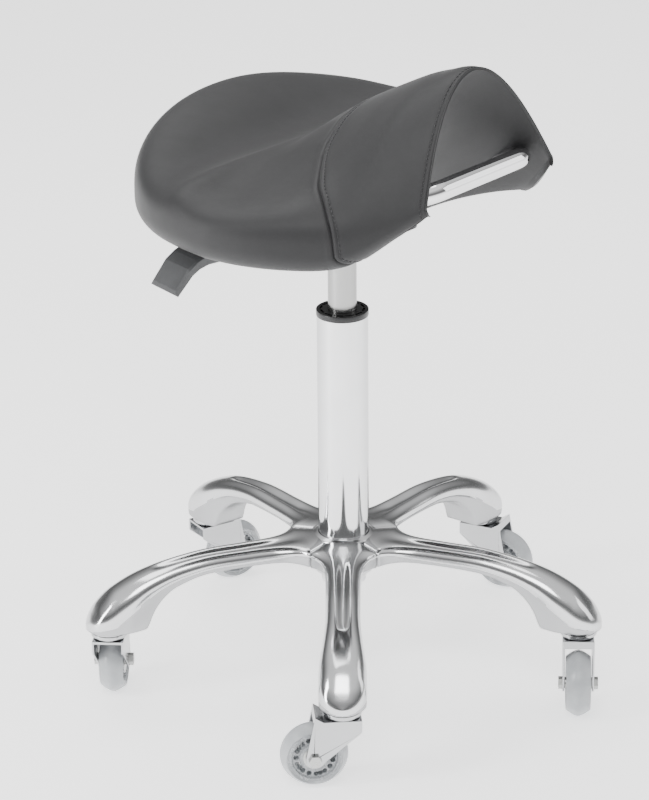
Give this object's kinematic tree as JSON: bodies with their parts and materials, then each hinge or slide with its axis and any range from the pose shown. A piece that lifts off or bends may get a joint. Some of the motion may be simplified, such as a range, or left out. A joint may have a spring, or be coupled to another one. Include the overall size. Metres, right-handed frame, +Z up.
{
  "type": "saddle stool",
  "caption": "Saddle-shaped swivel stool on a gas-lift column and a wheeled star base, with a height lever under the seat and a chrome hand bar below the pommel.",
  "frame": {"origin": "on the floor under the column axis", "axes": "+Z up along the column axis; the rider faces -Y, and the rider's right, where the lever is, is -X"},
  "size_m": [0.5017, 0.5242, 0.6576],
  "materials": {
    "polished_aluminium": "polished die casting with fine polishing lines",
    "column_chrome": "satin chromed steel tube",
    "cylinder_steel": "ground and brushed steel",
    "black_plastic": "moulded black nylon",
    "dark_rubber": "matt rubber",
    "zinc_steel": "zinc plated",
    "black_steel": "black powder coat",
    "shell_plastic": "moulded black shell",
    "foam_pad": "open-cell foam",
    "charcoal_leather": "charcoal upholstery leather, fine grain, satin",
    "dust_cloth": "black non-woven cloth",
    "chrome_bar": "bright chrome",
    "lever_plastic": "moulded dark grey plastic",
    "lever_steel": "zinc plated",
    "fork_chrome": "bright zinc and chrome plated sheet steel",
    "axle_steel": "zinc plated",
    "clear_tyre": "translucent grey polyurethane",
    "grey_core": "translucent moulded grey core"
  },
  "bodies": {
    "base": {"star_base": "polished_aluminium", "column_tube": "column_chrome", "guide_bush": "black_plastic", "column_end_plate": "zinc_steel", "lower_thrust_washer": "zinc_steel", "thrust_bearing_cage": "black_plastic", "thrust_bearing_balls": "zinc_steel", "caster_stems": "fork_chrome"},
    "lift_rod": {"piston_rod": "zinc_steel", "rod_clip": "zinc_steel", "upper_thrust_washer": "zinc_steel", "rubber_buffer": "dark_rubber", "piston": "zinc_steel"},
    "seat": {"gas_cylinder": "cylinder_steel", "rod_guide": "zinc_steel", "seat_plate": "black_steel", "taper_socket": "cylinder_steel", "lever_bracket": "black_steel", "lever_pin": "zinc_steel", "seat_shell": "shell_plastic", "seat_foam": "foam_pad", "cover_rear": "charcoal_leather", "cover_saddle": "charcoal_leather", "cover_gusset": "charcoal_leather", "dust_cover": "dust_cloth", "mount_bolts": "zinc_steel", "lock_washers": "zinc_steel", "tee_nuts": "zinc_steel", "handle_tube": "chrome_bar", "handle_clamps": "black_plastic", "handle_screws": "zinc_steel"},
    "lever": {"lever_rod": "lever_steel", "lever_grip": "lever_plastic"},
    "release_button": {"release_pin": "zinc_steel"},
    "caster_1": {"fork_1": "fork_chrome", "axle_1": "axle_steel"},
    "wheel_1": {"tyre_1": "clear_tyre", "wheel_core_1": "grey_core", "wheel_bearings_1": "axle_steel"},
    "caster_2": {"fork_2": "fork_chrome", "axle_2": "axle_steel"},
    "wheel_2": {"tyre_2": "clear_tyre", "wheel_core_2": "grey_core", "wheel_bearings_2": "axle_steel"},
    "caster_3": {"fork_3": "fork_chrome", "axle_3": "axle_steel"},
    "wheel_3": {"tyre_3": "clear_tyre", "wheel_core_3": "grey_core", "wheel_bearings_3": "axle_steel"},
    "caster_4": {"fork_4": "fork_chrome", "axle_4": "axle_steel"},
    "wheel_4": {"tyre_4": "clear_tyre", "wheel_core_4": "grey_core", "wheel_bearings_4": "axle_steel"},
    "caster_5": {"fork_5": "fork_chrome", "axle_5": "axle_steel"},
    "wheel_5": {"tyre_5": "clear_tyre", "wheel_core_5": "grey_core", "wheel_bearings_5": "axle_steel"}
  },
  "joints": [
    {"name": "seat_swivel", "type": "hinge", "parent": "base", "child": "lift_rod", "pos_m": [0, 0, 0.12], "axis": [0, 0, 1], "continuous": true},
    {"name": "height_slide", "type": "slide", "parent": "lift_rod", "child": "seat", "axis": [0, 0, 1], "range_m": [-0.055, 0.12]},
    {"name": "lever_lift", "type": "hinge", "parent": "seat", "child": "lever", "pos_m": [-0.037, 0.00868, 0.49], "axis": [0.2283, 0.9736, 0], "range_deg": [0, 2.6], "stiffness_Nm_per_rad": 6, "springref_deg": -2.86},
    {"name": "valve_press", "type": "slide", "parent": "seat", "child": "release_button", "axis": [0, 0, -1], "range_m": [0, 0.0018]},
    {"name": "caster_swivel_1", "type": "hinge", "parent": "base", "child": "caster_1", "pos_m": [-0.1865, -0.15374, 0.08], "axis": [0, 0, 1], "continuous": true},
    {"name": "wheel_spin_1", "type": "hinge", "parent": "caster_1", "child": "wheel_1", "pos_m": [-0.20581, -0.13444, 0.0325], "axis": [-0.7071, -0.7071, 0], "continuous": true},
    {"name": "caster_swivel_2", "type": "hinge", "parent": "base", "child": "caster_2", "pos_m": [0.08858, -0.22488, 0.08], "axis": [0, 0, 1], "continuous": true},
    {"name": "wheel_spin_2", "type": "hinge", "parent": "caster_2", "child": "wheel_2", "pos_m": [0.06692, -0.2415, 0.0325], "axis": [0.6088, -0.7934, 0], "continuous": true},
    {"name": "caster_swivel_3", "type": "hinge", "parent": "base", "child": "caster_3", "pos_m": [0.24125, 0.01476, 0.08], "axis": [0, 0, 1], "continuous": true},
    {"name": "wheel_spin_3", "type": "hinge", "parent": "caster_3", "child": "wheel_3", "pos_m": [0.24832, -0.01161, 0.0325], "axis": [0.9659, 0.2588, 0], "continuous": true},
    {"name": "caster_swivel_4", "type": "hinge", "parent": "base", "child": "caster_4", "pos_m": [0.06052, 0.234, 0.08], "axis": [0, 0, 1], "continuous": true},
    {"name": "wheel_spin_4", "type": "hinge", "parent": "caster_4", "child": "wheel_4", "pos_m": [0.08648, 0.22556, 0.0325], "axis": [0.309, 0.9511, 0], "continuous": true},
    {"name": "caster_swivel_5", "type": "hinge", "parent": "base", "child": "caster_5", "pos_m": [-0.20385, 0.12987, 0.08], "axis": [0, 0, 1], "continuous": true},
    {"name": "wheel_spin_5", "type": "hinge", "parent": "caster_5", "child": "wheel_5", "pos_m": [-0.18176, 0.14591, 0.0325], "axis": [-0.5878, 0.809, 0], "continuous": true}
  ],
  "couplings": [
    {"joint": "valve_press", "follows": "lever_lift", "m_per_rad": 0.038}
  ]
}
